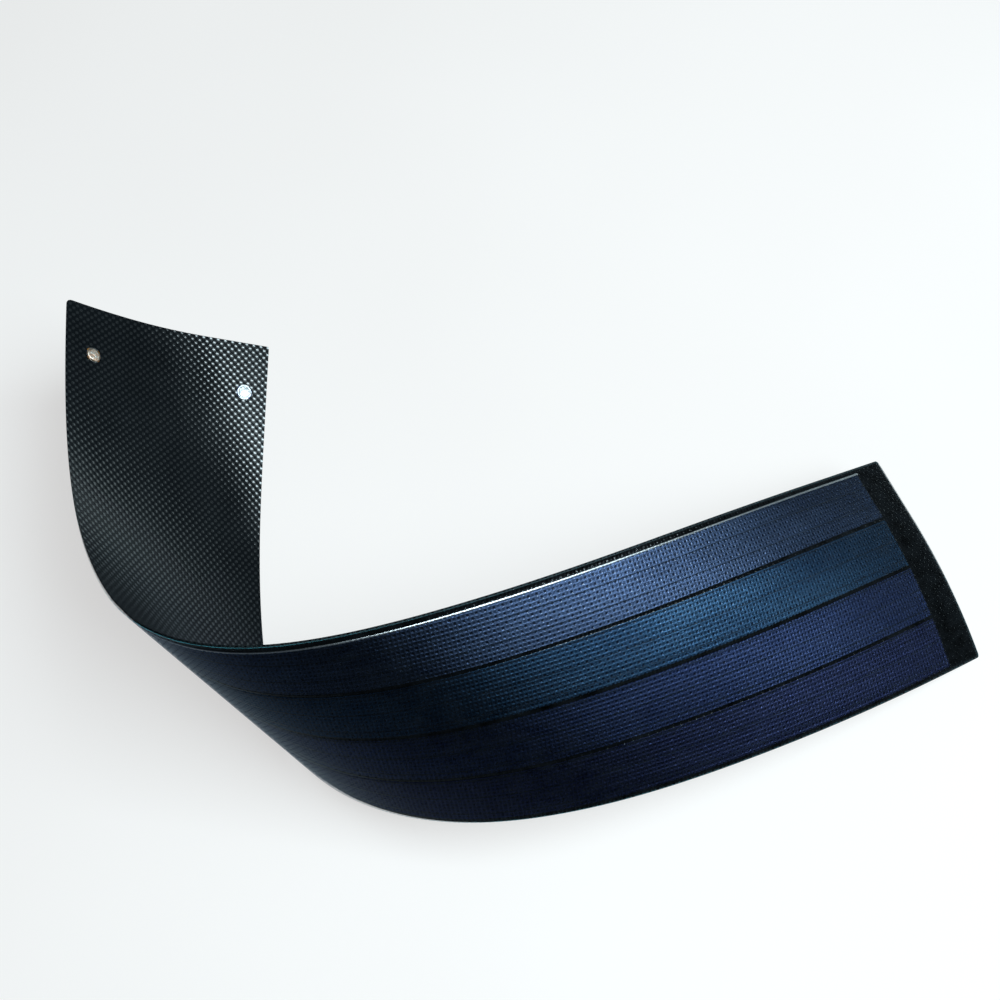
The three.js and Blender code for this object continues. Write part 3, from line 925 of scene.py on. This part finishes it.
def back_sheet(face, inner):
    windows = [(PAD_S, w, WINDOW_RADIUS) for w in (PAD_POSITIVE_W, PAD_NEGATIVE_W)]
    extra_w = [tab_centre(1) - TAB_WIDTH / 2 + offset for offset in (-0.45, 0, 0.45)]
    s_lines = grid_lines(0, SHEET_LENGTH, DOT_PITCH_S / 2)
    w_lines = grid_lines(0, SHEET_WIDTH, DOT_PITCH_W / 2, extra_w)
    low = embossed_grid(s_lines, w_lines, CORNERS, windows)
    high = triangulated([low[0][loop] for loop in low[2]])
    return closed_plate("black_back_sheet", high, low, level(BACK_SHEET[1]), back_height, [inner, face, face])


def back_encapsulant(material):
    slots = [strip(TAB_START, TAB_END, tab_centre(i), TAB_WIDTH, SLOT_CLEARANCE) for i in range(3)]
    slots.append(strip(PAD_S - 6, TAB_END, PAD_POSITIVE_W, TERMINAL_WIDTH, SLOT_CLEARANCE + 1))
    slots.append(strip(PAD_S - 8, PAD_S + 8, PAD_NEGATIVE_W, TERMINAL_WIDTH, SLOT_CLEARANCE))
    loops = [whole_outline(ENCAPSULANT_INSET), *[slot[::-1] for slot in slots]]
    return plate("clear_back_encapsulant", loops, RIBBON, material)


def disc_rings(radius, rings, sides):
    """Flat points and faces of a disc: a middle point and rings around it."""
    points = [(0.0, 0.0)]
    for ring in range(1, rings + 1):
        turns = (np.arange(sides) + 0.5 * (ring % 2)) / sides * 2 * math.pi
        points += [(radius * ring / rings * math.cos(t), radius * ring / rings * math.sin(t)) for t in turns]
    faces = [[0, 1 + k, 1 + (k + 1) % sides] for k in range(sides)]
    for ring in range(1, rings):
        inner, outer = 1 + (ring - 1) * sides, 1 + ring * sides
        for k in range(sides):
            j = (k + 1) % sides
            if ring % 2:
                faces += [[inner + k, outer + j, inner + j], [inner + k, outer + k, outer + j]]
            else:
                faces += [[inner + k, outer + k, inner + j], [inner + j, outer + k, outer + j]]
    rim = list(range(1 + (rings - 1) * sides, 1 + rings * sides))
    return np.array(points), faces, [rim]


def solder_joint(name, w, material, seed):
    """A low, uneven mound of solder on its pad."""
    points, faces, loops = disc_rings(SOLDER_RADIUS, SOLDER_RINGS, SOLDER_SIDES)
    angle = np.arctan2(points[:, 1], points[:, 0])
    reach = np.linalg.norm(points, axis=1) / SOLDER_RADIUS
    wobble = 0.05 * np.sin(3 * angle + seed) + 0.04 * np.sin(5 * angle + 2.1 * seed)
    points = points * (1 - 0.04 + wobble * reach)[:, None]
    lumps = (
        0.35 * np.sin(1.9 * points[:, 0] + seed) * np.sin(1.6 * points[:, 1] + 1.7 * seed)
        + 0.2 * np.sin(4.3 * points[:, 0] - 2.9 * points[:, 1] + seed)
        + 0.12 * np.sin(7.7 * points[:, 0] + 6.1 * points[:, 1] + 0.6 * seed)
    )
    dome = np.sqrt(np.clip(1 - reach ** 2, 0, 1)) ** 0.8
    height = 0.04 + (SOLDER_HEIGHT - 0.12) * dome * (1 + 0.45 * lumps)
    face = (points + (PAD_S, w), np.array(faces), loops)
    return closed_plate(name, face, face, level(0.03), lambda s, w: -height, [material] * 3)


def show_front_layers():
    """The embossed film and the glue under it. The glue's material is used again behind the cells."""
    show(front_film(film_gloss(), bonded_face(), clear_edge()), "front_film")
    clear = encapsulant()
    sheet = plate("clear_front_encapsulant", [whole_outline(ENCAPSULANT_INSET)], FRONT_ENCAPSULANT, clear)
    show(sheet, "front_encapsulant")
    return clear


def show_cells(copper):
    """Each cell with its fine wires and the busbar at its contact end."""
    cells = [
        cell_face("cell_face_1", (0.042, 0.064, 0.125), (0.075, 0.115, 0.22), CELL_ROUGHNESS),
        cell_face("cell_face_2", (0.021, 0.054, 0.115), (0.04, 0.095, 0.18), CELL_ROUGHNESS),
        cell_face("cell_face_3", (0.024, 0.037, 0.102), (0.043, 0.066, 0.165), CELL_ROUGHNESS),
        cell_face("cell_face_4", (0.023, 0.03, 0.086), (0.04, 0.052, 0.14), CELL_ROUGHNESS),
    ]
    wire_metal = metal("dark_wire", (0.004, 0.007, 0.012), (0.02, 0.03, 0.05), 0.42, 0.4, 0.00002)
    for index in range(CELL_COUNT):
        number = index + 1
        start = cell_edge(index)
        outline = rectangle(CELL_START, CELL_END, start, start + CELL_WIDTH, (0.25, 0.25, 0.25))
        cell = plate(f"thin_film_cell_{number}", [outline], CELL, cells[index])
        show(cell, f"cell_{number}")
        offsets = FIRST_CELL_WIRES if index == 0 else OTHER_CELL_WIRES
        for letter, offset in zip("abc", offsets):
            outline = strip(CELL_START + 1, BUSBAR_END - 0.4, start + offset, WIRE_WIDTH)
            wire = plate(f"fine_wire_{number}{letter}", [outline], WIRE, wire_metal)
            show(wire, f"collector_wire_{number}{letter}")
        first = start if index == 0 else start - BUSBAR_OVERLAP
        last = cell_edge(index + 1) - BUSBAR_OVERLAP - BUSBAR_SPACING
        outline = rectangle(BUSBAR_START, BUSBAR_END, first, last, (0.2, 0.2, 0.2), 1.0)
        busbar = plate(f"copper_busbar_{number}", [outline], CELL, copper, 1.0)
        show(busbar, f"busbar_{number}")


def show_ribbons(tinned):
    """The ribbons between the cells and under the pads."""
    for index in range(CELL_COUNT - 1):
        outline = strip(TAB_START, TAB_END, tab_centre(index), TAB_WIDTH)
        name = f"{index + 1}_{index + 2}"
        tab = plate(f"tinned_tab_{name}", [outline], RIBBON, tinned, 1.0)
        show(tab, f"interconnect_{name}")
    outline = strip(PAD_S - 6, TAB_END, PAD_POSITIVE_W, TERMINAL_WIDTH)
    ribbon = plate("positive_ribbon", [outline], TERMINAL_RIBBON, tinned, 1.0)
    show(ribbon, "terminal_ribbon_positive")
    outline = strip(PAD_S - 6, TAB_END, PAD_POSITIVE_W, TERMINAL_WIDTH, 1.0)
    insulation = plate("amber_insulation_strip", [outline], TERMINAL_INSULATION, amber_film(), 1.0)
    show(insulation, "terminal_insulation")
    outline = strip(PAD_S - 8, PAD_S + 8, PAD_NEGATIVE_W, TERMINAL_WIDTH)
    ribbon = plate("negative_ribbon", [outline], RIBBON, tinned, 1.0)
    show(ribbon, "terminal_ribbon_negative")


def show_contacts(copper, tinned):
    """The two pads in the windows of the back, each with its solder."""
    coppery = [
        (0.3, (0.3, 0.15, 0.09)), (0.42, (0.8, 0.52, 0.38)),
        (0.55, (0.95, 0.82, 0.7)), (0.7, (0.98, 0.96, 0.94)),
    ]
    silvery = [(0.3, (0.35, 0.37, 0.38)), (0.5, (0.8, 0.82, 0.83)), (0.7, (0.97, 0.97, 0.97))]
    contacts = [
        ("positive", PAD_POSITIVE_W, coppery, copper, 0.7),
        ("negative", PAD_NEGATIVE_W, silvery, tinned, 2.9),
    ]
    for name, w, stops, pad_metal, seed in contacts:
        pad = plate(f"{name}_pad", [circle(PAD_S, w, PAD_RADIUS)], PAD, pad_metal, 1.0)
        show(pad, f"contact_pad_{name}")
        solder = solder_metal(f"{name}_solder_metal", stops, 0.4)
        show(solder_joint(f"{name}_solder", w, solder, seed), f"solder_{name}")


def make_pieces():
    clear = show_front_layers()
    copper = metal("tinned_copper", (0.35, 0.22, 0.13), (0.62, 0.52, 0.42), 0.32, 0.5, 0.00005, 0.3)
    tinned = metal("tinned_ribbon", (0.42, 0.43, 0.44), (0.72, 0.73, 0.74), 0.3, 0.6, 0.00005, 0.3)
    show_cells(copper)
    show_ribbons(tinned)
    show(back_encapsulant(clear), "back_encapsulant")
    show(back_sheet(black_sheet_face(), black_sheet_inside()), "back_sheet")
    show_contacts(copper, tinned)


# ======================= the stage =======================

def soft_light(name, azimuth, elevation, distance, width, height, radiance):
    """A rectangular light that faces a point just above the floor under the curl."""
    data = bpy.data.lights.new(name, "AREA")
    data.shape = "RECTANGLE"
    data.size = width
    data.size_y = height
    data.energy = radiance * math.pi * width * height
    data.color = LIGHT_COLOUR
    lamp = bpy.data.objects.new(name, data)
    back = direction(azimuth, elevation)
    lamp.location = Vector((0, 0, 0.05)) + back * distance
    lamp.rotation_mode = "QUATERNION"
    lamp.rotation_quaternion = back.to_track_quat("Z", "Y")
    bpy.context.scene.collection.objects.link(lamp)


def make_floor():
    mesh = bpy.data.meshes.new("floor")
    line = np.linspace(-FLOOR_HALF, FLOOR_HALF, FLOOR_TILES + 1)
    points = [(x, y, FLOOR_LEVEL) for x in line for y in line]
    across = FLOOR_TILES + 1
    faces = []
    for i in range(FLOOR_TILES):
        for j in range(FLOOR_TILES):
            k = i * across + j
            faces.append([k, k + across, k + across + 1, k + 1])
    mesh.from_pydata(points, [], faces)
    mesh.materials.append(floor_paint())
    floor = bpy.data.objects.new("floor", mesh)
    bpy.context.scene.collection.objects.link(floor)


def make_world():
    """A dim room round the object, darkest in front, and a plain pale backdrop where the camera sees it."""
    world = bpy.data.worlds.new("room")
    bpy.context.scene.world = world
    world.use_nodes = True
    tree = world.node_tree
    tree.nodes.clear()
    output = tree.nodes.new("ShaderNodeOutputWorld")
    room = tree.nodes.new("ShaderNodeBackground")
    backdrop = tree.nodes.new("ShaderNodeBackground")
    backdrop.inputs["Color"].default_value = BACKDROP
    where = tree.nodes.new("ShaderNodeTexCoord")
    away = tree.nodes.new("ShaderNodeVectorMath")
    away.operation = "DOT_PRODUCT"
    away.inputs[1].default_value = direction(150, 20)
    ramp = tree.nodes.new("ShaderNodeValToRGB")
    ramp.color_ramp.elements[0].position = 0.25
    ramp.color_ramp.elements[0].color = ROOM_IN_FRONT
    ramp.color_ramp.elements[1].position = 0.95
    ramp.color_ramp.elements[1].color = ROOM_BEHIND
    half = tree.nodes.new("ShaderNodeMath")
    half.operation = "MULTIPLY_ADD"
    half.inputs[1].default_value = 0.5
    half.inputs[2].default_value = 0.5
    path = tree.nodes.new("ShaderNodeLightPath")
    mix = tree.nodes.new("ShaderNodeMixShader")
    tree.links.new(where.outputs["Generated"], away.inputs[0])
    tree.links.new(away.outputs["Value"], half.inputs[0])
    tree.links.new(half.outputs[0], ramp.inputs[0])
    tree.links.new(ramp.outputs[0], room.inputs["Color"])
    tree.links.new(path.outputs["Is Camera Ray"], mix.inputs[0])
    tree.links.new(room.outputs[0], mix.inputs[1])
    tree.links.new(backdrop.outputs[0], mix.inputs[2])
    tree.links.new(mix.outputs[0], output.inputs["Surface"])


def make_camera():
    """The view of the photograph: from high in front, turned a little about the line of sight."""
    data = bpy.data.cameras.new("camera")
    data.lens = CAMERA_LENS
    data.sensor_width = CAMERA_SENSOR
    data.clip_start = 0.01
    data.clip_end = 50.0
    camera = bpy.data.objects.new("camera", data)
    back = direction(CAMERA_AZIMUTH, CAMERA_ELEVATION)
    right = direction(CAMERA_AZIMUTH + 90, 0)
    up = back.cross(right)
    roll = math.radians(CAMERA_ROLL)
    rolled_right = right * math.cos(roll) - up * math.sin(roll)
    rolled_up = up * math.cos(roll) + right * math.sin(roll)
    basis = Matrix((rolled_right, rolled_up, back)).transposed().to_4x4()
    place_at = Matrix.Translation(Vector(CAMERA_TARGET) + back * CAMERA_DISTANCE)
    camera.matrix_world = place_at @ basis
    bpy.context.scene.collection.objects.link(camera)
    bpy.context.scene.camera = camera


bpy.context.scene.view_settings.view_transform = "Standard"
make_pieces()
make_floor()
make_world()
soft_light("key_light", *KEY_LIGHT)
soft_light("side_panel", *SIDE_PANEL)
make_camera()
